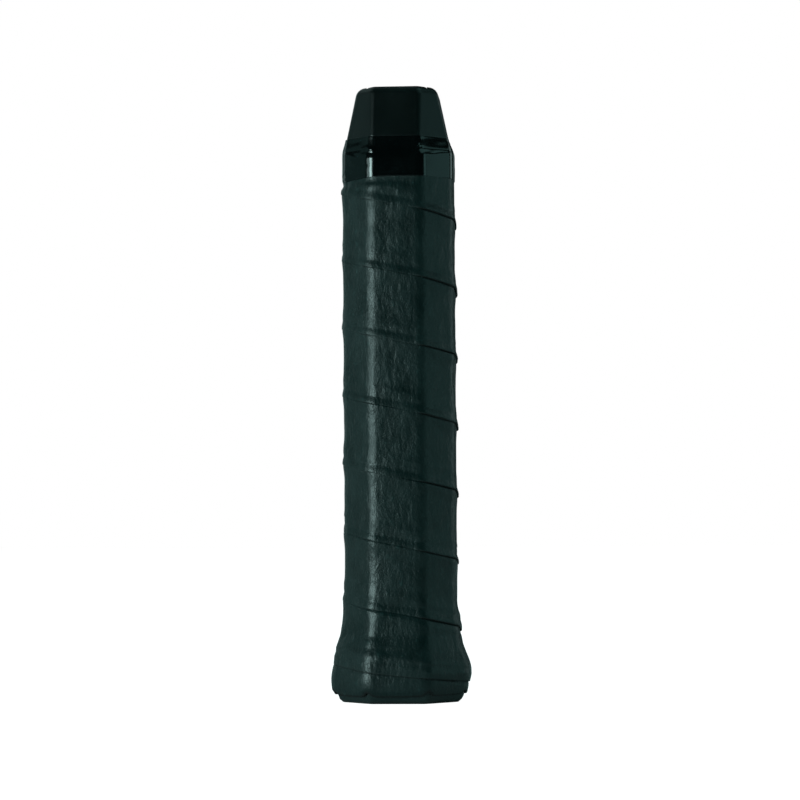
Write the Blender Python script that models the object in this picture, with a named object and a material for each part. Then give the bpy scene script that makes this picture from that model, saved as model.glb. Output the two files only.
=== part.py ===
"""Octagonal tennis racket handle with its wound grip tape, in metres, +Z up.

The handle stands on its butt cap, with the origin in the middle of the cap's rim plane.
Width runs along X, depth along Y, and -Y is the front.
"""

import math
from typing import NamedTuple

import bmesh
import bpy

# ---------------------------------------------------------------- driving dimensions

HANDLE_LENGTH = 0.187
GAP = 0.0003  # clearance between neighbouring pieces

BARE_WIDTH = 0.0308  # the handle's octagon under the tape
BARE_DEPTH = 0.0278
BARE_LEG = 0.0082  # leg of each 45 degree corner
BARE_RADIUS = 0.0018  # rounding of the eight long edges
ARC_STEPS = 2  # segments along each rounded edge of the wound tape
MOULDED_STEPS = 5  # and of the moulded pieces

TAPER_START = 0.1714  # the bare end narrows from here to the top
TOP_WIDTH = 0.0242
TOP_DEPTH = 0.0212
TOP_LEG = 0.00485
TOP_RADIUS = 0.0026
TOP_FILLET = 0.0024
FILLET_STEPS = 5

CAP_TOP = 0.0204
CAP_FLOOR = 0.0050  # the cap's inner floor, under the pallets
CAP_OUTLINE = (  # height and half-width of the cap's flare
    (0.0000, 0.0175),
    (0.0009, 0.0185),
    (0.0030, 0.0192),
    (0.0065, 0.0196),
    (0.0110, 0.0190),
    (0.0160, 0.0175),
    (CAP_TOP, 0.0165),
)
CAP_RINGS = 12
BRIDGE_TOP = 0.0300  # the tape leaves the cap's rim and meets the pallets here

TAPE_BOTTOM = 0.0018
TAPE_TOP = 0.1672  # where the last turn is trimmed level
TAPE_THICKNESS = 0.0012
TAPE_START_THICKNESS = 0.0005  # the skived tongue that starts the winding
TAPE_EDGE = 0.0004  # thickness left at the bevelled long edges
TAPE_BEVEL = 0.0048  # height of each bevelled edge
STRIP_HEIGHT = 0.0254  # the 25 mm tape measured up the handle
LEAD = 0.0206  # rise of one turn
FIRST_SEAM = 0.0010  # height of the straight helix at turn 0
START_EASE = 0.0061  # how softly the winding leaves the butt's level start
START_TURN = -1.50
TAPER_TURNS = 0.70  # how fast the tapered start widens
GROW_TURNS = 1.2  # turns over which the tape reaches its full thickness
TIP_HEIGHT = 0.0015  # the least height of the strip at either end
FADE = 0.0025  # height over which a turn settles down past the turn below it
LEVELS = 7  # points up the strip, on each of its faces

FINISH_BOTTOM = 0.1588
FINISH_TOP = 0.1711
FINISH_THICKNESS = 0.00035
FINISH_LEVELS = (FINISH_BOTTOM, 0.1620, 0.1650, 0.1676, 0.1686, 0.1698, FINISH_TOP)
FINISH_SEARCH = 0.0016  # the band hugs the highest tape this near above and below

CHANNEL_HALF_WIDTH = 0.00925  # the pallets' channel for the shaft
CHANNEL_HALF_DEPTH = 0.0078
LEG_WIDTH = 0.0088  # one leg of the carbon shaft
LEG_DEPTH = 0.0150
LEG_WALL = 0.0015
LEG_RADIUS = 0.0030
LEG_BOTTOM = 0.0120
PLUG_HEAD = 0.0021
PLUG_STUB = 0.0060

POCKETS = 5  # lightening pockets along each wall of a pallet
POCKET_START = 0.0260
POCKET_PITCH = 0.0282
POCKET_HEIGHT = 0.0252
FRONT_POCKET_HALF_WIDTH = 0.0068
FRONT_POCKET_FLOOR = 0.0116
SIDE_POCKET_X = (0.0109, 0.0135)
SIDE_POCKET_DEPTH = 0.0052
PEG_RADIUS = 0.0009
PEG_X = 0.0122
PEG_LENGTH = 0.0021
PEG_RIBS = (1, 4)  # ribs that carry a locating peg on each side

DOOR_WIDTH = 0.0250
DOOR_DEPTH = 0.0216
DOOR_LEG = 0.0064
DOOR_RADIUS = 0.0005
DOOR_BOTTOM = 0.0006
DOOR_TOP = 0.0026
OPENING_HALF_WIDTH = 0.0090  # the cap's opening behind the door
OPENING_HALF_DEPTH = 0.0075
CLIP_TOP = 0.0088
CLIP_THICKNESS = 0.0011
CLIP_HALF_WIDTH = 0.0030
CLIP_CLEARANCE = 0.0006
CLIP_BUMP = 0.00025
NOTCH_HALF_WIDTH = 0.0020
NOTCH_DEPTH = 0.0009

BADGE_RADIUS = 0.0072
BADGE_THICKNESS = 0.00045
BADGE_BOTTOM = 0.0007
BADGE_SIDES = 32

STAPLE_HEIGHT = 0.0135
STAPLE_X = 0.0040  # the two staples on a face sit this far left and right
STAPLE_HALF_WIDTH = 0.0026
STAPLE_WIRE = 0.0006
STAPLE_WIRE_TALL = 0.0008
STAPLE_CROWN_Y = 0.0158  # how far out the crown's outer face lies
STAPLE_TIP_Y = 0.0109
STAPLE_GROOVE_Y = 0.0150

FACETS = 8


class Octagon(NamedTuple):
    """A section of the handle: an octagon with rounded edges."""

    width: float
    depth: float
    leg: float
    radius: float


BARE = Octagon(BARE_WIDTH, BARE_DEPTH, BARE_LEG, BARE_RADIUS)
TOP = Octagon(TOP_WIDTH, TOP_DEPTH, TOP_LEG, TOP_RADIUS)


# ---------------------------------------------------------------- sections and outlines


def smooth(share):
    """An even S-curve from 0 to 1."""
    share = min(max(share, 0.0), 1.0)
    return share * share * (3.0 - 2.0 * share)


def facet_reach(shape, facet):
    """Distance from the axis to a facet, where facet 0 faces +X and 2 faces +Y."""
    if facet % 2:
        return (shape.width / 2 + shape.depth / 2 - shape.leg) / math.sqrt(2.0)
    return shape.width / 2 if facet % 4 == 0 else shape.depth / 2


def edge_centre(shape, facet):
    """Centre of the rounding between a facet and the next one."""
    near = facet_reach(shape, facet) - shape.radius
    far = facet_reach(shape, facet + 1) - shape.radius
    first = math.radians(45.0 * facet)
    second = math.radians(45.0 * (facet + 1))
    cross = math.sin(second - first)
    x = (near * math.sin(second) - far * math.sin(first)) / cross
    y = (far * math.cos(first) - near * math.cos(second)) / cross
    return x, y


def station_point(shape, station, grow=0.0, steps=ARC_STEPS):
    """One point of the outline, counterclockwise, pushed out by grow."""
    facet, step = divmod(station, steps + 1)
    x, y = edge_centre(shape, facet)
    angle = math.radians(45.0 * (facet + step / steps))
    reach = shape.radius + grow
    return x + reach * math.cos(angle), y + reach * math.sin(angle)


STATIONS = FACETS * (ARC_STEPS + 1)


def outline(shape, z, grow=0.0):
    """The whole outline of a moulded section at a height."""
    count = FACETS * (MOULDED_STEPS + 1)
    return [(*station_point(shape, s, grow, MOULDED_STEPS), z) for s in range(count)]


def scaled(half_width):
    """The handle's octagon at another half-width, in the same proportions."""
    scale = 2.0 * half_width / BARE_WIDTH
    return Octagon(*(size * scale for size in BARE))


def cap_half_width(z):
    """The cap's flare, a smooth curve through its outline points."""
    points = CAP_OUTLINE
    last = len(points) - 1
    z = min(max(z, points[0][0]), points[last][0])
    i = max(k for k in range(last) if points[k][0] <= z)

    def slope(k):
        before, after = points[max(k - 1, 0)], points[min(k + 1, last)]
        return (after[1] - before[1]) / (after[0] - before[0])

    (z0, w0), (z1, w1) = points[i], points[i + 1]
    span = z1 - z0
    t = (z - z0) / span
    return (
        w0 * (2 * t**3 - 3 * t**2 + 1)
        + w1 * (3 * t**2 - 2 * t**3)
        + span * slope(i) * (t**3 - 2 * t**2 + t)
        + span * slope(i + 1) * (t**3 - t**2)
    )


def support(z):
    """The octagon that the tape lies on at a height."""
    if z <= CAP_TOP:
        return scaled(cap_half_width(z))
    settled = smooth((z - CAP_TOP) / (BRIDGE_TOP - CAP_TOP))
    rim = CAP_OUTLINE[-1][1]
    return scaled(rim + (BARE_WIDTH / 2 - rim) * settled)


# ---------------------------------------------------------------- mesh helpers


def material(name, colour, roughness, metallic=0.0):
    """A Principled material with the piece's own colour."""
    made = bpy.data.materials.new(name)
    made.use_nodes = True
    shader = made.node_tree.nodes["Principled BSDF"]
    shader.inputs["Base Color"].default_value = (*colour, 1.0)
    shader.inputs["Roughness"].default_value = roughness
    shader.inputs["Metallic"].default_value = metallic
    return made


def add_object(name, vertices, faces, finish=None):
    """An object from points and faces, with its normals facing out."""
    mesh = bpy.data.meshes.new(name)
    mesh.from_pydata(vertices, [], faces)
    work = bmesh.new()
    work.from_mesh(mesh)
    bmesh.ops.recalc_face_normals(work, faces=work.faces)
    work.to_mesh(mesh)
    work.free()
    if finish is not None:
        mesh.materials.append(finish)
        mesh.shade_smooth()
        mesh.set_sharp_from_angle(angle=math.radians(30.0))
    made = bpy.data.objects.new(name, mesh)
    bpy.context.scene.collection.objects.link(made)
    if finish is None:
        made.hide_render = True
        made.display_type = "WIRE"
    return made


def loft(name, rings, finish=None):
    """A closed solid through outlines of the same number of points."""
    count = len(rings[0])
    vertices = [point for ring in rings for point in ring]
    faces = []
    for i in range(len(rings) - 1):
        low, high = i * count, (i + 1) * count
        for k in range(count):
            nxt = (k + 1) % count
            faces.append((low + k, low + nxt, high + nxt, high + k))
    faces.append(tuple(reversed(range(count))))
    faces.append(tuple(range((len(rings) - 1) * count, len(rings) * count)))
    return add_object(name, vertices, faces, finish)


def boxes(name, corners, finish=None):
    """One mesh of boxes that don't touch, each from its low to its high corner."""
    sides = ((0, 1, 3, 2), (4, 6, 7, 5), (0, 4, 5, 1), (2, 3, 7, 6), (0, 2, 6, 4), (1, 5, 7, 3))
    vertices = []
    faces = []
    for low, high in corners:
        first = len(vertices)
        for x in (low[0], high[0]):
            for y in (low[1], high[1]):
                for z in (low[2], high[2]):
                    vertices.append((x, y, z))
        faces.extend(tuple(first + k for k in side) for side in sides)
    return add_object(name, vertices, faces, finish)


def prism(name, profile, place, finish=None):
    """A profile swept between place(point, 0) and place(point, 1)."""
    ends = [[place(point, end) for point in profile] for end in (0, 1)]
    return loft(name, ends, finish)


def combine(target, tool, operation):
    """Cuts or joins one object with another, exactly."""
    step = target.modifiers.new(f"{operation.lower()} {tool.name}", "BOOLEAN")
    step.operation = operation
    step.solver = "EXACT"
    step.object = tool


def rounded_rectangle(half_width, half_depth, radius, z, centre_x=0.0, steps=3):
    """Outline of a rectangle with rounded corners."""
    points = []
    for corner in range(4):
        side_x = 1 if corner in (0, 3) else -1
        side_y = 1 if corner in (0, 1) else -1
        for step in range(steps + 1):
            angle = math.radians(90.0 * (corner + step / steps))
            x = centre_x + side_x * (half_width - radius) + radius * math.cos(angle)
            y = side_y * (half_depth - radius) + radius * math.sin(angle)
            points.append((x, y, z))
    return points


def circle(radius, z, sides, centre=(0.0, 0.0)):
    """Outline of a circle."""
    turns = (2.0 * math.pi * k / sides for k in range(sides))
    return [(centre[0] + radius * math.cos(a), centre[1] + radius * math.sin(a), z) for a in turns]


# ---------------------------------------------------------------- the handle's pallets


def rib_height(rib):
    """Middle height of the rib below a pocket."""
    return POCKET_START + rib * POCKET_PITCH - (POCKET_PITCH - POCKET_HEIGHT) / 2


def pallet_rings():
    """Outlines of the whole bare handle, from inside the cap to its filleted top."""
    rings = [outline(BARE, CAP_FLOOR + GAP), outline(BARE, TAPER_START)]
    for step in range(FILLET_STEPS + 1):
        angle = math.radians(90.0 * step / FILLET_STEPS)
        drop = TOP_FILLET * (1.0 - math.sin(angle))
        inset = TOP_FILLET * (1.0 - math.cos(angle))
        share = (HANDLE_LENGTH - drop - TAPER_START) / (HANDLE_LENGTH - TAPER_START)
        shape = Octagon(*(b + (t - b) * share for b, t in zip(BARE, TOP)))
        rings.append(outline(shape, HANDLE_LENGTH - drop, -inset))
    return rings


def peg_places():
    """Middle of each locating peg, as x and z."""
    return [(side * PEG_X, rib_height(rib)) for rib in PEG_RIBS for side in (-1, 1)]


def pegs(name, radius, y_low, y_high):
    """Round pegs along Y at every peg place, in one mesh."""
    vertices = []
    faces = []
    sides = 12
    for x, z in peg_places():
        first = len(vertices)
        for y in (y_low, y_high):
            vertices.extend((px, y, pz) for px, pz, _ in circle(radius, 0.0, sides, (x, z)))
        for k in range(sides):
            nxt = (k + 1) % sides
            faces.append((first + k, first + nxt, first + sides + nxt, first + sides + k))
        faces.append(tuple(first + k for k in range(sides)))
        faces.append(tuple(first + sides + k for k in reversed(range(sides))))
    return add_object(name, vertices, faces)


def pallet_cutters(side):
    """Boxes taken out of a pallet: front and side pockets, and the staples' holes."""

    def box(x, y, z):
        near, far = sorted((side * y[0], side * y[1]))
        return (x[0], near, z[0]), (x[1], far, z[1])

    cut = []
    for i in range(POCKETS):
        low = POCKET_START + i * POCKET_PITCH
        z = (low, low + POCKET_HEIGHT)
        inner = CHANNEL_HALF_DEPTH - 2 * GAP
        cut.append(
            box(
                (-FRONT_POCKET_HALF_WIDTH, FRONT_POCKET_HALF_WIDTH),
                (inner, FRONT_POCKET_FLOOR),
                z,
            )
        )
        near, far = SIDE_POCKET_X
        cut.append(box((near, far), (-GAP, SIDE_POCKET_DEPTH), z))
        cut.append(box((-far, -near), (-GAP, SIDE_POCKET_DEPTH), z))
    for x in staple_leg_places():
        cut.append(staple_hole(x, side, STAPLE_TIP_Y - GAP, BARE_DEPTH / 2 + GAP))
    return cut


def build_pallet(name, side, finish):
    """One half of the moulded handle, on the -Y side for side -1."""
    made = loft(name, pallet_rings(), finish)
    work = bmesh.new()
    work.from_mesh(made.data)
    geometry = [*work.verts, *work.edges, *work.faces]
    plane = (0.0, side * GAP / 2, 0.0)
    parted = bmesh.ops.bisect_plane(
        work, geom=geometry, plane_co=plane, plane_no=(0.0, -side, 0.0), clear_outer=True
    )
    rim = [item for item in parted["geom_cut"] if isinstance(item, bmesh.types.BMEdge)]
    bmesh.ops.holes_fill(work, edges=rim, sides=0)
    bmesh.ops.recalc_face_normals(work, faces=work.faces)
    work.to_mesh(made.data)
    work.free()
    channel = (
        (-CHANNEL_HALF_WIDTH, -CHANNEL_HALF_DEPTH, 0.0),
        (CHANNEL_HALF_WIDTH, CHANNEL_HALF_DEPTH, HANDLE_LENGTH + GAP),
    )
    combine(made, boxes(f"{name}_channel_cutter", [channel]), "DIFFERENCE")
    combine(made, boxes(f"{name}_pocket_cutter", pallet_cutters(side)), "DIFFERENCE")
    if side < 0:
        joined = pegs(f"{name}_peg_guide", PEG_RADIUS, -PEG_LENGTH, PEG_LENGTH)
        combine(made, joined, "UNION")
    else:
        sockets = pegs(f"{name}_socket_cutter", PEG_RADIUS + GAP, 0.0, PEG_LENGTH + 2 * GAP)
        combine(made, sockets, "DIFFERENCE")
    return made


# ---------------------------------------------------------------- the carbon shaft


def build_shaft_leg(name, side, finish):
    """One hollow leg of the shaft, open at both ends."""
    centre = side * (LEG_WIDTH / 2 + GAP / 2)
    top = HANDLE_LENGTH - PLUG_HEAD - GAP
    rings = []
    for wall, heights in ((0.0, (LEG_BOTTOM, top)), (LEG_WALL, (top, LEG_BOTTOM))):
        for z in heights:
            half_width = LEG_WIDTH / 2 - wall
            half_depth = LEG_DEPTH / 2 - wall
            radius = LEG_RADIUS - wall
            rings.append(rounded_rectangle(half_width, half_depth, radius, z, centre))
    count = len(rings[0])
    vertices = [point for ring in rings for point in ring]
    faces = []
    for i in range(4):
        low, high = i * count, ((i + 1) % 4) * count
        for k in range(count):
            nxt = (k + 1) % count
            faces.append((low + k, low + nxt, high + nxt, high + k))
    return add_object(name, vertices, faces, finish)


def build_plug(name, finish):
    """The plug that closes both legs of the cut shaft, flush with the top."""
    bottom = HANDLE_LENGTH - PLUG_HEAD
    half_width = LEG_WIDTH + GAP / 2
    head = [
        rounded_rectangle(half_width, LEG_DEPTH / 2, LEG_RADIUS, z)
        for z in (bottom, HANDLE_LENGTH)
    ]
    made = loft(name, head, finish)
    for side in (-1, 1):
        centre = side * (LEG_WIDTH / 2 + GAP / 2)
        stub = [
            rounded_rectangle(
                LEG_WIDTH / 2 - LEG_WALL - GAP,
                LEG_DEPTH / 2 - LEG_WALL - GAP,
                LEG_RADIUS - LEG_WALL - GAP,
                z,
                centre,
            )
            for z in (bottom - PLUG_STUB, bottom + PLUG_HEAD / 2)
        ]
        word = "left" if side < 0 else "right"
        combine(made, loft(f"{name}_{word}_stub_guide", stub), "UNION")
    return made


# ---------------------------------------------------------------- butt cap and staples


def staple_leg_places():
    """Sideways places of the staple legs on one face."""
    reach = STAPLE_HALF_WIDTH - STAPLE_WIRE / 2
    return [side * STAPLE_X + leg * reach for side in (-1, 1) for leg in (-1, 1)]


def staple_hole(x, side, y_inner, y_outer):
    """A hole for one staple leg, with clearance all round."""
    half_width = STAPLE_WIRE / 2 + GAP
    half_height = STAPLE_WIRE_TALL / 2 + GAP
    near, far = sorted((side * y_inner, side * y_outer))
    low = (x - half_width, near, STAPLE_HEIGHT - half_height)
    high = (x + half_width, far, STAPLE_HEIGHT + half_height)
    return low, high


def build_staple(name, centre_x, side, finish):
    """A wire staple with its crown outside, driven towards the axis."""
    half = STAPLE_HALF_WIDTH
    outside = STAPLE_CROWN_Y
    crown_inner = outside - STAPLE_WIRE
    tip = STAPLE_TIP_Y
    profile = (
        (-half, outside),
        (half, outside),
        (half, tip),
        (half - STAPLE_WIRE, tip),
        (half - STAPLE_WIRE, crown_inner),
        (-half + STAPLE_WIRE, crown_inner),
        (-half + STAPLE_WIRE, tip),
        (-half, tip),
    )

    def place(point, end):
        z = STAPLE_HEIGHT + (end - 0.5) * STAPLE_WIRE_TALL
        return centre_x + point[0], side * point[1], z

    return prism(name, profile, place, finish)


def build_cap(name, finish):
    """The flared cup over the pallets' lower end, with the door's opening in its floor."""
    heights = [0.0, CAP_OUTLINE[1][0]]
    for ring in range(1, CAP_RINGS - 1):
        share = ring / (CAP_RINGS - 2)
        heights.append(heights[1] + (CAP_TOP - heights[1]) * share)
    made = loft(name, [outline(scaled(cap_half_width(z)), z) for z in heights], finish)
    reach = CAP_TOP + 10 * GAP
    cup = [outline(BARE, z, GAP) for z in (CAP_FLOOR, reach)]
    combine(made, loft(f"{name}_cup_cutter", cup), "DIFFERENCE")
    recess = [outline(door_shape(), z, GAP) for z in (-10 * GAP, DOOR_TOP + GAP)]
    combine(made, loft(f"{name}_recess_cutter", recess), "DIFFERENCE")
    opening = (
        (-OPENING_HALF_WIDTH, -OPENING_HALF_DEPTH, DOOR_BOTTOM),
        (OPENING_HALF_WIDTH, OPENING_HALF_DEPTH, CAP_FLOOR + GAP),
    )
    combine(made, boxes(f"{name}_opening_cutter", [opening]), "DIFFERENCE")
    grooves = []
    holes = []
    half_height = STAPLE_WIRE_TALL / 2 + GAP
    for side in (-1, 1):
        near, far = sorted((side * STAPLE_GROOVE_Y, side * (BARE_DEPTH * 0.75)))
        for centre in (-STAPLE_X, STAPLE_X):
            low = (centre - STAPLE_HALF_WIDTH - GAP, near, STAPLE_HEIGHT - half_height)
            high = (centre + STAPLE_HALF_WIDTH + GAP, far, STAPLE_HEIGHT + half_height)
            grooves.append((low, high))
        for x in staple_leg_places():
            holes.append(staple_hole(x, side, BARE_DEPTH / 2, STAPLE_GROOVE_Y + GAP))
    combine(made, boxes(f"{name}_groove_cutter", grooves), "DIFFERENCE")
    combine(made, boxes(f"{name}_staple_hole_cutter", holes), "DIFFERENCE")
    return made


# ---------------------------------------------------------------- trap door and badge


def door_shape():
    """The trap door's outline."""
    return Octagon(DOOR_WIDTH, DOOR_DEPTH, DOOR_LEG, DOOR_RADIUS)


def clip_profile(outer):
    """Side view of a spring clip whose outer face lies at a distance from the axis."""
    inner = outer - CLIP_THICKNESS
    root = DOOR_TOP - GAP
    bump = (DOOR_TOP + CLIP_TOP) / 2 + GAP
    lean = CLIP_THICKNESS / 2
    return (
        (inner, root),
        (outer, root),
        (outer, bump - 0.0004),
        (outer + CLIP_BUMP, bump),
        (outer, bump + 0.0004),
        (outer, CLIP_TOP - lean),
        (outer - lean, CLIP_TOP),
        (inner, CLIP_TOP),
    )


def build_door(name, finish):
    """The snap-in door: a plate with four spring clips and a seat for the badge."""
    plate = [outline(door_shape(), z) for z in (DOOR_BOTTOM, DOOR_TOP)]
    made = loft(name, plate, finish)
    reaches = (OPENING_HALF_WIDTH, OPENING_HALF_DEPTH)
    for clip in range(4):
        outer = reaches[clip % 2] - CLIP_CLEARANCE
        turn = math.radians(90.0 * clip)

        def place(point, end, turn=turn):
            across = (2 * end - 1) * CLIP_HALF_WIDTH
            x = point[0] * math.cos(turn) - across * math.sin(turn)
            y = point[0] * math.sin(turn) + across * math.cos(turn)
            return x, y, point[1]

        joined = prism(f"{name}_clip_{clip + 1}_guide", clip_profile(outer), place)
        combine(made, joined, "UNION")
    seat_top = BADGE_BOTTOM + BADGE_THICKNESS + GAP
    seat = [circle(BADGE_RADIUS + GAP, z, BADGE_SIDES) for z in (0.0, seat_top)]
    combine(made, loft(f"{name}_seat_cutter", seat), "DIFFERENCE")
    notch = (
        (-NOTCH_HALF_WIDTH, DOOR_DEPTH / 2 - NOTCH_DEPTH, 0.0),
        (NOTCH_HALF_WIDTH, DOOR_DEPTH, (DOOR_BOTTOM + DOOR_TOP) / 2),
    )
    combine(made, boxes(f"{name}_notch_cutter", [notch]), "DIFFERENCE")
    return made


def build_badge(name, finish):
    """A blank round badge with a chamfered edge, set in the door."""
    chamfer = BADGE_THICKNESS / 3
    rings = [
        circle(BADGE_RADIUS - chamfer, BADGE_BOTTOM, BADGE_SIDES),
        circle(BADGE_RADIUS, BADGE_BOTTOM + chamfer, BADGE_SIDES),
        circle(BADGE_RADIUS, BADGE_BOTTOM + BADGE_THICKNESS, BADGE_SIDES),
    ]
    return loft(name, rings, finish)


# ---------------------------------------------------------------- the wound grip tape
#
# A turn number counts turns up from the +X side. The tape climbs clockwise as seen from
# above, so the whole number of turns is passed at +X and the fraction grows towards -Y.


def wound_fractions():
    """How far round the handle each station lies, in the direction of winding."""
    ring = [station_point(BARE, station, TAPE_THICKNESS) for station in range(STATIONS)]
    start = (BARE_WIDTH / 2 + TAPE_THICKNESS, 0.0)
    clockwise = [start, *reversed(ring), start]
    passed = [0.0]
    for here, there in zip(clockwise, clockwise[1:]):
        passed.append(passed[-1] + math.dist(here, there))
    return [length / passed[-1] for length in passed[1:-1]]


FRACTIONS = wound_fractions()


def lower_edge(turn):
    """Height of the tape's lower edge: level at the butt, then rising by the lead."""
    rise = (FIRST_SEAM + LEAD * turn - TAPE_BOTTOM) / START_EASE
    return TAPE_BOTTOM + START_EASE * math.log1p(math.exp(rise))


def strip_top(turn):
    """Height of the tape's upper edge before it is trimmed level at the top."""
    widened = 1.0 - math.exp(-(turn - START_TURN) / TAPER_TURNS)
    return lower_edge(turn) + STRIP_HEIGHT * widened


def upper_edge(turn):
    """Height of the tape's upper edge as it is wound."""
    return min(strip_top(turn), TAPE_TOP)


def exists(turn):
    """Whether the tape is there at a turn number."""
    return turn > START_TURN and upper_edge(turn) - lower_edge(turn) >= TIP_HEIGHT


def thickness(turn, z):
    """The tape's thickness, thinner along its bevelled edges and at its tongue."""
    grown = smooth((turn - START_TURN) / GROW_TURNS)
    full = TAPE_START_THICKNESS + (TAPE_THICKNESS - TAPE_START_THICKNESS) * grown
    from_edge = min(z - lower_edge(turn), strip_top(turn) - z)
    share = min(max(from_edge / TAPE_BEVEL, 0.0), 1.0)
    return TAPE_EDGE + (full - TAPE_EDGE) * share


def inner_offset(turn, z):
    """How far the tape's inner face stands off what it is wound on."""
    below = turn - 1.0
    if not exists(below):
        return GAP
    edge = upper_edge(below)
    if z <= edge:
        return outer_offset(below, z) + GAP
    settled = smooth((z - edge) / FADE)
    return GAP + outer_offset(below, edge) * (1.0 - settled)


def outer_offset(turn, z):
    """How far the tape's outer face stands off what it is wound on."""
    return inner_offset(turn, z) + thickness(turn, z)


def strip_levels(turn):
    """Heights of the points up the strip, with one at each change of its profile."""
    low, high = lower_edge(turn), upper_edge(turn)
    last = LEVELS - 1
    if not exists(turn - 1.0):
        return [low + (high - low) * k / last for k in range(LEVELS)]
    under = upper_edge(turn - 1.0)
    settled = under + FADE
    bevel = high - TAPE_BEVEL
    marks = [low, (low + under) / 2, under, settled, (settled + bevel) / 2, bevel, high]
    least = (high - low) / (2 * last)
    for k in range(1, LEVELS):
        marks[k] = max(marks[k], marks[k - 1] + least)
    marks[last] = high
    for k in reversed(range(1, last)):
        marks[k] = min(marks[k], marks[k + 1] - least)
    return marks


def wound_stations():
    """Every station along the tape, as its place on the outline and its turn number."""
    wound = []
    for whole in range(math.floor(START_TURN), math.ceil(TAPE_TOP / LEAD) + 1):
        for k, fraction in enumerate(FRACTIONS):
            if exists(whole + fraction):
                wound.append((STATIONS - 1 - k, whole + fraction))
    return wound


def build_grip_tape(name, finish):
    """The grip tape: one strip wound from its tongue at the butt to its trimmed end."""
    vertices = []
    for station, turn in wound_stations():
        levels = strip_levels(turn)
        for z in levels:
            vertices.append((*station_point(support(z), station, inner_offset(turn, z)), z))
        for z in reversed(levels):
            vertices.append((*station_point(support(z), station, outer_offset(turn, z)), z))
    around = 2 * LEVELS
    faces = []
    for first in range(0, len(vertices) - around, around):
        for k in range(around):
            a, b = first + k, first + (k + 1) % around
            faces.append((a, b, b + around))
            faces.append((a, b + around, a + around))
    for first in (0, len(vertices) - around):
        for k in range(LEVELS - 1):
            mirrored = around - 1 - k
            faces.append((first + k, first + k + 1, first + mirrored - 1, first + mirrored))
    return add_object(name, vertices, faces, finish)


def highest_tape(station, z):
    """How far the outermost turn stands off the handle at a place."""
    fraction = FRACTIONS[STATIONS - 1 - station]
    tops = [0.0]
    for whole in range(math.ceil(TAPE_TOP / LEAD) + 1):
        turn = whole + fraction
        if exists(turn) and lower_edge(turn) <= z <= upper_edge(turn):
            tops.append(outer_offset(turn, z))
    return max(tops)


def build_finishing_tape(name, finish):
    """The band that holds the grip's top end: it hugs the tape, then ramps to the handle."""
    vertices = []
    for station in range(STATIONS):
        near = [(station + step) % STATIONS for step in (-1, 0, 1)]
        offsets = []
        for z in FINISH_LEVELS:
            held = min(z, TAPE_TOP)
            heights = (held - FINISH_SEARCH, held, min(held + FINISH_SEARCH, TAPE_TOP))
            hug = GAP + max(highest_tape(s, h) for s in near for h in heights)
            ramp = smooth((z - FINISH_LEVELS[3]) / (FINISH_TOP - FINISH_LEVELS[3]))
            offsets.append(hug + (GAP - hug) * ramp)
        levels = list(zip(FINISH_LEVELS, offsets))
        for z, offset in levels:
            vertices.append((*station_point(BARE, station, offset), z))
        for z, offset in reversed(levels):
            vertices.append((*station_point(BARE, station, offset + FINISH_THICKNESS), z))
    around = 2 * len(FINISH_LEVELS)
    total = len(vertices)
    faces = []
    for first in range(0, total, around):
        for k in range(around):
            a, b = first + k, first + (k + 1) % around
            faces.append((a, b, (b + around) % total, (a + around) % total))
    return add_object(name, vertices, faces, finish)


# ---------------------------------------------------------------- the whole object


def build():
    """Makes every piece of the handle."""
    for item in list(bpy.data.objects):
        bpy.data.objects.remove(item, do_unlink=True)
    foam = material("pallet_polymer", (0.016, 0.019, 0.019), 0.45)
    carbon = material("carbon_laminate", (0.012, 0.012, 0.013), 0.35)
    nylon = material("cap_nylon", (0.012, 0.014, 0.014), 0.5)
    leather = material("grip_polyurethane", (0.012, 0.028, 0.027), 0.45)
    vinyl = material("finishing_vinyl", (0.003, 0.004, 0.005), 0.12)
    steel = material("staple_steel", (0.55, 0.55, 0.54), 0.35, 1.0)
    badge_finish = material("badge_vinyl", (0.030, 0.036, 0.036), 0.2)

    build_pallet("pallet_front", -1, foam)
    build_pallet("pallet_rear", 1, foam.copy())
    build_shaft_leg("shaft_left", -1, carbon)
    build_shaft_leg("shaft_right", 1, carbon.copy())
    build_plug("shaft_end_plug", material("plug_polymer", (0.014, 0.016, 0.016), 0.5))
    build_cap("butt_cap", nylon)
    build_door("trap_door", nylon.copy())
    build_badge("badge", badge_finish)
    for face, side in (("front", -1), ("rear", 1)):
        for word, centre in (("left", -STAPLE_X), ("right", STAPLE_X)):
            build_staple(f"staple_{face}_{word}", centre, side, steel.copy())
    build_grip_tape("grip_tape", leather)
    build_finishing_tape("finishing_tape", vinyl)


build()
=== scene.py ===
"""Looks of an octagonal racket handle wound with grip tape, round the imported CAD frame."""

import math

import bmesh
import bpy
import numpy as np
from mathutils import Matrix, Vector


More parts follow.
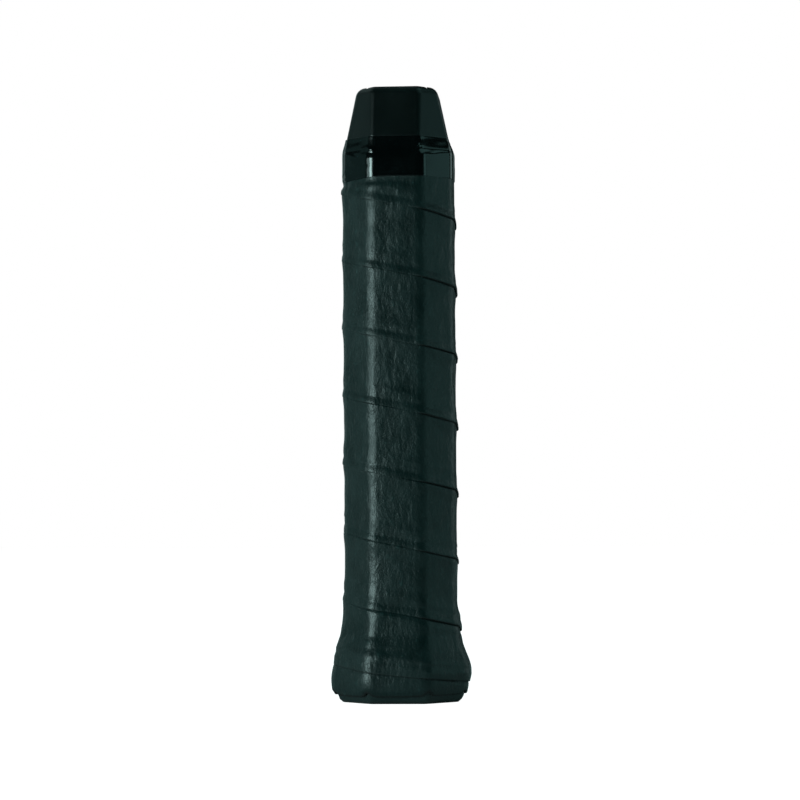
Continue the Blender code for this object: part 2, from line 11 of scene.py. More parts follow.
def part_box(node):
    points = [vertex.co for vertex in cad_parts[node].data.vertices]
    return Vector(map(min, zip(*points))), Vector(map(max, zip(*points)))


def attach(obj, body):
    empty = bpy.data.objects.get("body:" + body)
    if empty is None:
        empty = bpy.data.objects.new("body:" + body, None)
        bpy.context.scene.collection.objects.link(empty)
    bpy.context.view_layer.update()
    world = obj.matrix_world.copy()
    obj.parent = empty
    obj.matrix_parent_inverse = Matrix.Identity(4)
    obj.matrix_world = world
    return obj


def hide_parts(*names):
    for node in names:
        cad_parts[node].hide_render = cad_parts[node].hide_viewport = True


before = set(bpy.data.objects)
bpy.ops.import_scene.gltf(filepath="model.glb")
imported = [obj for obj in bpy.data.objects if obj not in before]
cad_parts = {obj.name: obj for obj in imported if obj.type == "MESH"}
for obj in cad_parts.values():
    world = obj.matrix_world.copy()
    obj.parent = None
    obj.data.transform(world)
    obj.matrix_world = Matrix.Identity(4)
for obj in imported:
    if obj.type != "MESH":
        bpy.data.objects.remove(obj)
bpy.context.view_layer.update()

# Lengths are in metres. A turn number counts up along the tape as it winds up the handle,
# clockwise from above, and its fraction says where round the handle it is: 0 at +X, 0.25
# at the front, 0.5 at -X and 0.75 at the rear. The tape starts before turn 0, on the cap.
# A fade is the place where something starts to come or go, and how far on it is done.

MM = 0.001

# ---------------------------------------------------------------- the handle under the tape

BARE_WIDTH = 30.8 * MM
BARE_DEPTH = 27.8 * MM
BARE_LEG = 8.2 * MM
BARE_RADIUS = 1.8 * MM
TAPE_RADIUS = 4.0 * MM  # what the padding makes of that radius under its own thickness
CAP_OUTLINE = np.array(  # height and half-width of the butt cap's flare
    [(0.0, 17.5), (0.9, 18.5), (3.0, 19.2), (6.5, 19.6), (11.0, 19.0), (16.0, 17.5), (20.4, 16.5)]
) * MM
BRIDGE_TOP = 30.0 * MM  # where the tape's support has come in from the cap to the handle

# ---------------------------------------------------------------- the strip and its winding

STRIP_HEIGHT = 25.4 * MM  # the same measured straight up, as the strip lies at a slant
LEAD = 20.6 * MM  # rise of a turn
TURN_LENGTH = 108.0 * MM  # once round the grip
TAPE_BOTTOM = 1.8 * MM
TAPE_TOP = 167.2 * MM
FIRST_SEAM = 1.0 * MM  # where the edge's even rise would put turn 0
START_EASE = 6.1 * MM  # how gently the edge leaves the level of the butt
START_TURN = -1.50
TAPER_TURNS = 0.70  # the point at the start widens over this
GROW_TURNS = 1.2  # and comes to its full thickness over this
TIP_HEIGHT = 1.5 * MM
END_HEIGHT = 4.0 * MM
SKIN_GAP = 0.05 * MM  # between the tape and what it is stuck to

EDGE_WANDER = 0.22 * MM  # how far the lower edge strays from its even rise
WANDER_FROM, WANDER_TO = 0.1, 7.8
SLANT = 0.45 * MM  # on the first turns the edge lies higher at +X and lower at -X
SLANT_FADE = (-0.35, 0.5)
NOTCH = 1.2 * MM  # and rides up a little over the butt's long edges
NOTCH_WIDTH = 0.011
NOTCH_LAST = -0.25

# ---------------------------------------------------------------- the strip's thickness

FULL = 1.45 * MM
START_THICKNESS = 0.50 * MM
BEVEL = 4.8 * MM
BEVEL_CURVE = 1.15
SUNK_EDGE = 0.12 * MM  # thickness at the upper edge, under the next turn
SKIVE = 6.0 * MM  # the first turns are skived this much further down from the top
UNEVEN = 0.15 * MM  # and are this much thinner at +X and thicker at -X
EARLY_FADE = (-0.5, 1.1)

LIP = 0.42 * MM  # thickness at the lower edge where the step shows most
LIP_CLOSED = 0.20  # share of it that is left where the seam is closed
LIP_UNEVEN = 0.25
OPEN_SEAMS = (  # where round the handle the seams are open: middle, reach and strength
    (0.04, 0.15, 1.0),
    (0.338, 0.022, 0.55),
    (0.62, 0.12, 0.7),
)
OPEN_SOFTNESS = 0.04
OPEN_LOW_TURNS = 0.45  # how open the seams of the first turns are all round
OPEN_LOW_FADE = (0.5, 0.4)
OPEN_UNEVEN = 0.14
UNDERCUT = 0.10 * MM  # an open lower edge stands off the turn below by this much
UNDERCUT_REACH = 0.5 * MM
LIP_ROUNDING = 0.11 * MM
LIP_ROUNDING_REACH = 0.12 * MM

BUTT_BEVEL = 1.3 * MM  # the tape keeps its thickness almost down to the butt's rim
BUTT_BEVEL_FADE = (-0.40, 0.55)
BUTT_LIP = 0.75 * MM  # and is this much thicker at the edge there
BUTT_LIP_FADE = (-0.35, 0.3)

SWELL = 0.30 * MM  # the tape swells towards the seam above it
SWELL_REACH = 4.0 * MM
SWELL_HELD = 2.0 * MM  # up to this far above the band's lower edge, which holds it down
SWELL_HELD_OVER = 3.0 * MM
SETTLE = 2.6 * MM  # past the edge of the turn below, the tape comes down over this
BULGE = 0.42 * MM  # thicker on the -X side where the handle runs into the butt
BULGE_LEVEL = 29.0 * MM
BULGE_REACH = 5.0 * MM

SQUEEZE = 0.32 * MM  # the finishing band holds the last turn down on the -X side
SQUEEZE_FADE = (155.5 * MM, 2.0 * MM)
PINCH = 0.25 * MM  # and more so where its lower edge lies
PINCH_LEVEL = 158.0 * MM
PINCH_REACH = 3.0 * MM
THINNING = 0.75  # how much of its thickness the tape loses under the band's shoulder
THINNING_DROP = 2.5 * MM  # if the shoulder starts at least this far below the tape's top
THINNING_CURVE = 1.3
SHOULDER_AT = (0.0, 0.12, 0.25, 0.34, 0.42, 0.50, 0.75, 1.0)  # round the turn
SHOULDER_DROP = (1.0, 2.6, 3.4, 4.0, 2.6, 0.4, 1.6, 1.0)  # its start below the tape's top, in mm

# ---------------------------------------------------------------- the strip's visible face

FELT_SHARE = 0.50  # how far up its lap the turn below can be felt
FELT_LOWEST, FELT_HIGHEST = 2.2 * MM, 3.8 * MM
FELT_UNEVEN = (0.85, 0.25)
OUT_OF_REACH = 1.0
VALLEY, VALLEY_REACH = 0.15 * MM, 0.85 * MM
RIDGE, RIDGE_REACH = 0.11 * MM, 0.9 * MM
RIDGE_BELOW_VALLEY = 1.7 * MM
PRESSED = 0.11 * MM  # the groove that the next turn's edge presses
PRESSED_REACH = 0.32 * MM
PRESSED_CLOSED = 0.15
RIPPLE, RIPPLE_REACH = 0.05 * MM, 3.0 * MM
LUMPS, LUMP_RISE, LUMP_START = 0.07 * MM, 21.0 * MM, 3.0 * MM
CROWN = 0.12 * MM  # how much the tape stands up in the middle of a facet
INNER_CROWN = 0.10 * MM
CREASE_WIDTH = 0.42 * MM
BUTT_CREASES = (  # middle as a turn, height, length and slope in mm, depth in mm
    (0.345, 16.7, 6.5, 0.03, -0.20),
    (0.275, 16.0, 5.0, 0.10, -0.14),
    (0.120, 12.0, 6.0, 0.05, -0.10),
    (0.130, 8.6, 6.5, 0.07, 0.09),
    (0.160, 7.2, 4.5, -0.04, -0.10),
    (0.560, 15.2, 7.0, 0.05, -0.16),
    (0.800, 13.6, 7.0, -0.06, -0.16),
)

# Painted shade: the grip's colour is darkened along open lower lips, in the groove under the next
# turn's edge, and at the butt's edge and corners, where shade falls.
SEAM_SHADE_REACH = 0.28 * MM
SEAM_SHADE_BELOW = 0.12 * MM  # its middle lies this much below the next turn's edge
SEAM_SHADE_CLOSED = 0.08
BUTT_SHADE = 0.25 * MM  # the painted shade along the edge at the butt is this much wider
BUTT_SHADE_CORNER = 0.55 * MM
BUTT_SHADE_FADE = (-0.30, 0.2)
CORNER_SHADE_WIDTH = 1.6 * NOTCH_WIDTH

LIP_LEVELS = (0.0, 0.06, 0.14, 0.28, 0.5, 0.9, 1.4, 1.9, 2.4, 2.9, 3.5, 4.2)  # mm above the edge
SEAM_LEVELS = (-1.1, -0.75, -0.5, -0.34, -0.22, -0.11, 0.0, 0.11, 0.22, 0.4, 0.8)  # and the next
FACE_LEVELS = 30
INNER_LEVELS = 26
LEVEL_STEP = 0.0002 * MM  # keeps neighbouring heights apart

# ---------------------------------------------------------------- the finishing band

BAND_BOTTOM, BAND_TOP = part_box("finishing_tape")[0][2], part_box("finishing_tape")[1][2]
BAND_THICKNESS = 0.15 * MM
BAND_START = 0.30  # where round the handle its hidden end lies
BAND_WRAPS = 1.55
BAND_LAP = 0.03  # in turns: the second wrap climbs onto the first within this
BAND_LAP_GAP = 0.03 * MM
BAND_LAP_RISE = 0.45 * MM  # the second wrap's lower edge is this much higher
BAND_LAP_RISE_FADE = (1.06, 0.06)
BAND_DIP = 1.1 * MM  # the lower edge dips on the -X side
BAND_DIP_AT = 0.55
BAND_DIP_SLOPE = 3.2
BAND_WANDER = 0.10 * MM
BAND_LEVELS = 46
BAND_CROWN = 0.12 * MM
BAND_DOME_LOW, BAND_DOME_HIGH = 5.0 * MM, 4.0 * MM
BAND_EDGE_HELD = 1.5 * MM  # wrinkles fade this close to its edges
BAND_EDGE_ROUNDING = 0.04 * MM
BAND_RIPPLE, BAND_RIPPLE_RISE = 0.02 * MM, 9.0 * MM
BAND_OVER_TAPE = 0.06 * MM
BAND_OVER_HANDLE = 0.08 * MM
SHOULDER_BELOW_TAPE_TOP = 0.4 * MM  # its shoulder starts here
SHOULDER_ABOVE_BAND_TOP = 0.5 * MM  # and would reach the handle here
HUG_SIDES = (-0.02, -0.01, 0.0, 0.01, 0.02)  # it bridges hollows narrower than this, in turns
HUG_RISES = (-0.8, -0.4, 0.0, 0.4, 0.8)  # and in mm
HUG_MARGIN = 0.05 * MM
WRINKLE_WIDTH = 0.6 * MM
WRINKLES = (  # middle round the turn, height, length and slope in mm, depth in mm
    (0.350, 167.4, 3.6, -0.25, 0.16),
    (0.372, 165.2, 4.4, 0.35, -0.14),
    (0.395, 163.6, 3.4, 0.55, 0.13),
    (0.340, 161.9, 2.6, -0.45, -0.08),
    (0.425, 159.9, 3.8, 0.75, 0.10),
    (0.440, 158.9, 3.6, 0.70, 0.10),
    (0.320, 167.0, 2.6, 0.10, 0.46),
    (0.182, 167.9, 1.2, -0.15, 0.26),
    (0.150, 167.6, 4.0, 0.12, 0.03),
    (0.130, 166.4, 3.4, -0.20, -0.08),
    (0.600, 166.6, 4.4, 0.30, 0.08),
    (0.655, 163.2, 4.0, -0.50, 0.06),
    (0.820, 165.2, 4.4, 0.35, 0.08),
    (0.905, 163.4, 3.6, -0.40, -0.05),
    (0.960, 166.9, 3.0, 0.20, 0.07),
)


# ---------------------------------------------------------------- small curves


def smooth(share):
    share = np.clip(share, 0.0, 1.0)
    return share * share * (3.0 - 2.0 * share)


def rising(x, start, length):
    """From 0 at start to 1 one length further on, level at both ends."""
    return smooth((x - start) / length)


def falling(x, start, length):
    return 1.0 - rising(x, start, length)


def bell(distance, reach):
    """1 at no distance, and almost nothing two reaches away."""
    return np.exp(-((distance / reach) ** 2))


def noise1(x, seed, octaves=3):
    """A smooth repeatable wander of about -1 to 1 along x."""
    draw = np.random.default_rng(seed)
    total = np.zeros_like(np.asarray(x, float))
    for octave in range(octaves):
        frequency = 1.7**octave * draw.uniform(0.8, 1.2)
        total += np.sin(2 * np.pi * (frequency * x + draw.random())) / 1.5**octave
    return total / 1.8


# ---------------------------------------------------------------- the octagon


def edge_centres(width, depth, leg, radius):
    """Centres of the eight rounded edges; edge k lies between facets k and k + 1."""
    slant = (width / 2 + depth / 2 - leg) / math.sqrt(2.0)
    reach = [width / 2, slant, depth / 2, slant] * 2
    centres = []
    for k in range(8):
        near, far = reach[k] - radius, reach[(k + 1) % 8] - radius
        a, b = math.radians(45.0 * k), math.radians(45.0 * (k + 1))
        cross = math.sin(b - a)
        x = (near * math.sin(b) - far * math.sin(a)) / cross
        y = (far * math.cos(a) - near * math.cos(b)) / cross
        centres.append((x, y))
    return np.array(centres)


def stations(flat_steps, arc_steps):
    """Once round clockwise from the middle of the +X facet.

    Each row is the arc centre's x and y on the bare handle, the direction that the
    surface faces, how far across its flat facet the station lies (0 on an arc), and how
    far the handle's sharper edge stands out past the padding's rounder one.
    """
    centres = edge_centres(BARE_WIDTH, BARE_DEPTH, BARE_LEG, TAPE_RADIUS)
    half_corner = math.radians(22.5)
    rows = []
    for k in range(8):
        facing = math.radians(45.0 * k)
        before, after = centres[(k - 1) % 8], centres[k]
        for step in range(flat_steps):
            share = (step + 0.5) / flat_steps
            x, y = before + (after - before) * share
            rows.append((x, y, facing, math.sin(math.pi * share), 0.0))
        for step in range(arc_steps + 1):
            angle = 2 * half_corner * step / arc_steps
            proud = math.cos(angle - half_corner) / math.cos(half_corner) - 1.0
            rows.append((*after, facing + angle, 0.0, proud * (TAPE_RADIUS - BARE_RADIUS)))
    half = flat_steps // 2
    rows = rows[half:] + rows[:half]
    return np.array(rows[::-1])


def fractions(table):
    """How far round each station lies, as a fraction of a turn clockwise from +X."""
    reach = TAPE_RADIUS + FULL
    x = table[:, 0] + reach * np.cos(table[:, 2])
    y = table[:, 1] + reach * np.sin(table[:, 2])
    points = np.stack([x, y], axis=1)
    start = np.array([[BARE_WIDTH / 2 - TAPE_RADIUS + reach, 0.0]])
    points = np.concatenate([start, points, start])
    steps = np.linalg.norm(np.diff(points, axis=0), axis=1)
    return np.cumsum(steps)[:-1] / steps.sum()


def corner_fractions():
    """Where the eight long edges lie round the handle, as fractions of a turn."""
    table = stations(2, 2)
    middles = table[:, 4] > 0.5 * table[:, 4].max()
    return fractions(table)[middles]


CORNERS = corner_fractions()


def turns_from(turn, place):
    """How far a turn number is from a place round the handle, from -0.5 to 0.5."""
    return (turn - place + 0.5) % 1.0 - 0.5


def near_corner(turn, reach):
    """1 at the handle's long edges, falling away over a reach given in turns."""
    near = np.zeros_like(turn)
    for edge in CORNERS:
        near = np.maximum(near, bell(turns_from(turn, edge), reach))
    return near


def support_scale(z):
    """Size of the section that the tape lies on, against the bare handle's."""
    heights, widths = CAP_OUTLINE[:, 0], CAP_OUTLINE[:, 1]
    slopes = np.gradient(widths, heights)
    z = np.asarray(z, float)
    held = np.clip(z, heights[0], heights[-1])
    i = np.clip(np.searchsorted(heights, held, side="right") - 1, 0, len(heights) - 2)
    span = heights[i + 1] - heights[i]
    t = (held - heights[i]) / span
    flare = (
        widths[i] * (2 * t**3 - 3 * t**2 + 1)
        + widths[i + 1] * (3 * t**2 - 2 * t**3)
        + span * slopes[i] * (t**3 - 2 * t**2 + t)
        + span * slopes[i + 1] * (t**3 - t**2)
    )
    settled = rising(z, heights[-1], BRIDGE_TOP - heights[-1])
    return (flare + (BARE_WIDTH / 2 - flare) * settled) / (BARE_WIDTH / 2)


def surface_points(table_rows, z, offset):
    """Points that stand off the support by offset, at stations and heights."""
    scale = support_scale(z)
    x0, y0, facing = (table_rows[:, k : k + 1] for k in range(3))
    reach = TAPE_RADIUS * scale + offset
    x = x0 * scale + reach * np.cos(facing)
    y = y0 * scale + reach * np.sin(facing)
    return np.stack([x, y, z], axis=-1)


# ---------------------------------------------------------------- how the tape is wound


def lower_edge(turn):
    rise = (FIRST_SEAM + LEAD * turn - TAPE_BOTTOM) / START_EASE
    level = TAPE_BOTTOM + START_EASE * np.log1p(np.exp(np.minimum(rise, 60.0)))
    wander = EDGE_WANDER * noise1(turn * 1.3, 4)
    wander = wander * smooth(turn - WANDER_FROM) * smooth((WANDER_TO - turn) * 2)
    slant = SLANT * np.cos(2 * np.pi * turn) * falling(turn, *SLANT_FADE)
    notch = NOTCH * near_corner(turn, NOTCH_WIDTH) * (turn < NOTCH_LAST)
    return level + wander + slant + notch


def strip_top(turn):
    widened = 1.0 - np.exp(-np.maximum(turn - START_TURN, 0.0) / TAPER_TURNS)
    return lower_edge(turn) + STRIP_HEIGHT * widened


def upper_edge(turn):
    return np.minimum(strip_top(turn), TAPE_TOP)


def exists(turn):
    low = lower_edge(turn)
    tall = (strip_top(turn) - low >= TIP_HEIGHT) & (TAPE_TOP - low >= END_HEIGHT)
    return (turn > START_TURN) & tall


def openness(turn):
    """How open the seam under the lower edge is, from 0 to 1."""
    wide = np.zeros_like(np.asarray(turn, float))
    for middle, reach, strength in OPEN_SEAMS:
        inside = reach - np.abs(turns_from(turn, middle))
        wide = np.maximum(wide, strength * smooth(inside / OPEN_SOFTNESS + 0.5))
    low_turns = OPEN_LOW_TURNS * falling(turn, *OPEN_LOW_FADE) * (1.0 - wide)
    return np.clip(wide + low_turns + OPEN_UNEVEN * noise1(turn * 6.0, 77), 0.0, 1.0)


def full_thickness(turn, z, grown, early):
    """Thickness between the bevels."""
    full = START_THICKNESS + (FULL - START_THICKNESS) * grown
    below_next = np.maximum(strip_top(turn) - BEVEL - z, 0.0)
    free = falling(z, BAND_BOTTOM + SWELL_HELD, SWELL_HELD_OVER)
    full = full + SWELL * grown * free * np.exp(-((below_next / SWELL_REACH) ** 2) * 2.0)
    full = full - UNEVEN * np.cos(2 * np.pi * turn) * early
    bulge = bell(z - BULGE_LEVEL, BULGE_REACH) * np.sin(np.pi * turn) ** 4
    return full + BULGE * bulge * grown


def thickness(turn, z):
    """Bevelled along both long edges, and pressed and thinned under the finishing band."""
    grown = rising(turn, START_TURN, GROW_TURNS)
    early = falling(turn, *EARLY_FADE)
    full = full_thickness(turn, z, grown, early)
    lip = LIP * (LIP_CLOSED + (1.0 - LIP_CLOSED) * openness(turn))
    lip = lip * (1.0 + LIP_UNEVEN * noise1(turn * 5.0, 8))
    lip = lip + BUTT_LIP * grown * falling(turn, *BUTT_LIP_FADE)
    low_bevel = BUTT_BEVEL + (BEVEL - BUTT_BEVEL) * rising(turn, *BUTT_BEVEL_FADE)
    low_share = np.clip((z - lower_edge(turn)) / low_bevel, 0.0, 1.0) ** BEVEL_CURVE
    high_share = np.clip((strip_top(turn) - z) / (BEVEL + SKIVE * early), 0.0, 1.0)
    low = lip + (full - lip) * low_share
    high = SUNK_EDGE + (full - SUNK_EDGE) * high_share
    body = np.minimum(low, high)
    held_down = rising(z, *SQUEEZE_FADE) * np.sin(np.pi * turn) ** 2
    pressed = SQUEEZE + PINCH * bell(z - PINCH_LEVEL, PINCH_REACH)
    drop = MM * np.interp(turn % 1.0, SHOULDER_AT, SHOULDER_DROP)
    risen = np.clip((z - (TAPE_TOP - drop)) / drop, 0.0, 1.0)
    thinned = THINNING * np.minimum(drop / THINNING_DROP, 1.0) * risen**THINNING_CURVE
    return (body - pressed * held_down * smooth(body / full)) * (1.0 - thinned)


def inner_offset(turn, z, layers=3):
    """How far the strip's inner face stands off the support, over the turns below it."""
    if layers == 0:
        return np.full(np.broadcast(turn, z).shape, SKIN_GAP)
    below = turn - 1.0
    edge = upper_edge(below)
    lying = outer_offset(below, z, layers - 1)
    at_edge = outer_offset(below, edge, layers - 1)
    stand = np.where(z <= edge, lying, at_edge * falling(z, edge, SETTLE))
    return SKIN_GAP + np.where(exists(below), np.maximum(stand, 0.0), 0.0)


def outer_offset(turn, z, layers=3):
    return inner_offset(turn, z, layers) + thickness(turn, z)


def puckers(turn, z, places, width):
    """Short slanting creases and ridges at places of (middle, height, length, slope, depth)."""
    total = np.zeros(np.broadcast(turn, z).shape)
    for middle, height, length, slope, depth in places:
        along = (turn - middle) * TURN_LENGTH
        across = z - height * MM - slope * along
        total += depth * MM * bell(along, 0.5 * length * MM) * bell(across, width)
    return total


def relief(turn, z, crown):
    """Fine shape of the visible face: the edge felt from below, creases and a soft crown."""
    above = z - lower_edge(turn)
    lap = upper_edge(turn - 1.0) - lower_edge(turn)
    felt_at = np.clip(lap * FELT_SHARE, FELT_LOWEST, FELT_HIGHEST)
    felt_at = np.where(exists(turn - 1.0), felt_at, OUT_OF_REACH)
    strength = FELT_UNEVEN[0] + FELT_UNEVEN[1] * noise1(turn * 3.0, 21)
    valley = -VALLEY * strength * bell(above - felt_at, VALLEY_REACH)
    ridge = RIDGE * strength * bell(above - felt_at + RIDGE_BELOW_VALLEY, RIDGE_REACH)
    ripple = RIPPLE * noise1(turn * 9.0, 31) * np.exp(-above / RIPPLE_REACH)
    pressed = -PRESSED * bell(z - lower_edge(turn + 1.0), PRESSED_REACH)
    pressed = pressed * (PRESSED_CLOSED + (1.0 - PRESSED_CLOSED) * openness(turn + 1.0))
    lumps = LUMPS * noise1(turn * 4.3 + z / LUMP_RISE, 61) * smooth(above / LUMP_START)
    creased = puckers(turn, z, BUTT_CREASES, CREASE_WIDTH)
    return valley + ridge + ripple + pressed + lumps + creased + CROWN * crown


def painted_seam_shade(turn, z):
    """Painted shade: dark along an open lower lip, and in the groove below the next turn's edge."""
    lowest = falling(turn, *BUTT_SHADE_FADE)
    corner = near_corner(turn, CORNER_SHADE_WIDTH)
    reach = SEAM_SHADE_REACH + (BUTT_SHADE + BUTT_SHADE_CORNER * corner) * lowest
    at_lip = bell(z - lower_edge(turn), reach) * np.maximum(openness(turn), lowest)
    at_next = bell(z + SEAM_SHADE_BELOW - lower_edge(turn + 1.0), SEAM_SHADE_REACH)
    at_next = at_next * (SEAM_SHADE_CLOSED + (1.0 - SEAM_SHADE_CLOSED) * openness(turn + 1.0))
    return np.maximum(at_lip, at_next)


def strip_heights(turn):
    """Heights up the outer face, close together along the lower lip and the next seam."""
    low, high = lower_edge(turn), upper_edge(turn)
    lip, seam = np.array(LIP_LEVELS) * MM, np.array(SEAM_LEVELS) * MM
    first = low + lip * np.minimum((high - low) / (2 * lip[-1]), 1.0)
    around_next = np.clip(lower_edge(turn + 1.0) + seam, first[..., -1:], high)
    rest = first[..., -1:] + (high - first[..., -1:]) * np.linspace(0.0, 1.0, FACE_LEVELS)[1:]
    heights = np.sort(np.concatenate([first, around_next, rest], axis=-1), axis=-1)
    return heights + LEVEL_STEP * np.arange(heights.shape[-1])


# ---------------------------------------------------------------- meshes


def mesh_object(name, points, faces, smooth_angle):
    """A smooth-shaded object with its faces turned outward."""
    mesh = bpy.data.meshes.new(name)
    mesh.from_pydata([tuple(p) for p in points], [], faces)
    work = bmesh.new()
    work.from_mesh(mesh)
    bmesh.ops.recalc_face_normals(work, faces=work.faces)
    work.to_mesh(mesh)
    work.free()
    mesh.shade_smooth()
    mesh.set_sharp_from_angle(angle=math.radians(smooth_angle))
    made = bpy.data.objects.new(name, mesh)
    bpy.context.scene.collection.objects.link(made)
    return made


def strip_object(name, outside, inside, smooth_angle):
    """A strip from the points of its outer and inner faces, row by row, closed at both ends."""
    section = np.concatenate([outside, inside], axis=1)
    rows, columns = section.shape[:2]
    faces = []
    for i in range(rows - 1):
        here, there = i * columns, (i + 1) * columns
        for k in range(columns):
            following = (k + 1) % columns
            faces.append((here + k, here + following, there + following, there + k))
    last = (rows - 1) * columns
    faces.append(tuple(reversed(range(columns))))
    faces.append(tuple(range(last, last + columns)))
    return mesh_object(name, section.reshape(-1, 3), faces, smooth_angle)


def wound_strip(flat_steps, arc_steps):
    """Stations along the tape and their turn numbers."""
    table = stations(flat_steps, arc_steps)
    whole = np.arange(math.floor(START_TURN), math.ceil(TAPE_TOP / LEAD) + 1)
    turns = (whole[:, None] + fractions(table)[None, :]).ravel()
    rows = np.tile(table, (len(whole), 1))
    keep = exists(turns)
    return rows[keep], turns[keep]


def build_grip_tape(name):
    rows, turns = wound_strip(flat_steps=8, arc_steps=8)
    turn = turns[:, None]
    crown, proud = rows[:, 3:4], rows[:, 4:5]
    low, high = lower_edge(turn), upper_edge(turn)
    z_out = strip_heights(turn)
    offset_out = outer_offset(turn, z_out) + relief(turn, z_out, crown)
    offset_out -= LIP_ROUNDING * openness(turn) * np.exp(-(z_out - low) / LIP_ROUNDING_REACH)
    z_in = low + (high - low) * np.linspace(1.0, 0.0, INNER_LEVELS) ** 1.4
    lifted = UNDERCUT * openness(turn) * np.exp(-(z_in - low) / UNDERCUT_REACH)
    offset_in = inner_offset(turn, z_in) + lifted
    inner_crown = INNER_CROWN * crown * (offset_in > 2 * SKIN_GAP)
    offset_in = np.maximum(offset_in + inner_crown, SKIN_GAP + proud * support_scale(z_in))
    outside = surface_points(rows, z_out, offset_out)
    inside = surface_points(rows, z_in, offset_in)
    made = strip_object(name, outside, inside, smooth_angle=35.0)
    # the painted shade goes into the "seam" attribute; the inner face, which lies in shade, is
    # painted fully dark
    dark = np.concatenate([painted_seam_shade(turn, z_out), np.ones_like(z_in)], axis=1)
    seam = made.data.attributes.new("seam", "FLOAT", "POINT")
    seam.data.foreach_set("value", dark.ravel().astype(np.float32))
    return made


def tape_reach(fraction, z):
    """How far the outermost turn of tape stands off the handle, up where the band lies."""
    reach = np.zeros(np.broadcast(fraction, z).shape)
    for whole in range(5, 10):
        turn = whole + fraction
        here = exists(turn) & (lower_edge(turn) <= z) & (z <= upper_edge(turn))
        reach = np.where(here, np.maximum(reach, outer_offset(turn, z)), reach)
    return reach


def band_offset(fraction, z, proud):
    """The band's inner face: it hugs the tape, rounds its end and meets the handle."""
    highest = TAPE_TOP - HUG_MARGIN
    held = np.minimum(z, highest)
    hug = np.zeros(np.broadcast(fraction, z).shape)
    for side in HUG_SIDES:
        for rise in HUG_RISES:
            level = np.minimum(held + rise * MM, highest)
            hug = np.maximum(hug, tape_reach((fraction + side) % 1.0, level))
    hug = hug + BAND_OVER_TAPE
    start = TAPE_TOP - SHOULDER_BELOW_TAPE_TOP
    ramp = rising(z, start, BAND_TOP + SHOULDER_ABOVE_BAND_TOP - start)
    return hug + (BAND_OVER_HANDLE + proud - hug) * ramp


def build_band(name):
    """A strip of vinyl wrapped about one and a half times, with its end on the rear."""
    table = stations(flat_steps=10, arc_steps=12)
    count = int(len(table) * BAND_WRAPS)
    index = (int(len(table) * BAND_START) + np.arange(count)) % len(table)
    rows = table[index]
    wrap = (np.arange(count) / len(table))[:, None]
    fraction = fractions(table)[index][:, None]
    dip = -BAND_DIP * smooth(1 - np.abs(fraction - BAND_DIP_AT) * BAND_DIP_SLOPE)
    low = BAND_BOTTOM + dip + BAND_WANDER * noise1(wrap * 4, 51)
    low = low + BAND_LAP_RISE * rising(wrap, *BAND_LAP_RISE_FADE)
    z = low + (BAND_TOP - low) * np.linspace(0.0, 1.0, BAND_LEVELS)
    layer = np.clip(wrap - 1.0 + BAND_LAP, 0.0, BAND_LAP) / BAND_LAP
    inner = band_offset(fraction, z, rows[:, 4:5]) + layer * (BAND_THICKNESS + BAND_LAP_GAP)
    slack = smooth((z - low) / BAND_EDGE_HELD) * smooth((BAND_TOP - z) / BAND_EDGE_HELD)
    ripple = BAND_RIPPLE * noise1(fraction * 5 + z / BAND_RIPPLE_RISE, 57)
    inner = inner + (puckers(fraction, z, WRINKLES, WRINKLE_WIDTH) + ripple) * slack
    domed = smooth((z - low) / BAND_DOME_LOW) * smooth((BAND_TOP - z) / BAND_DOME_HIGH)
    inner = inner + BAND_CROWN * rows[:, 3:4] * domed
    outer = inner + BAND_THICKNESS
    outer[:, 0] -= BAND_EDGE_ROUNDING
    outer[:, -1] -= BAND_EDGE_ROUNDING
    outside = surface_points(rows, z, outer)
    inside = surface_points(rows, z[:, ::-1], inner[:, ::-1])
    return strip_object(name, outside, inside, smooth_angle=40.0)


# ---------------------------------------------------------------- materials


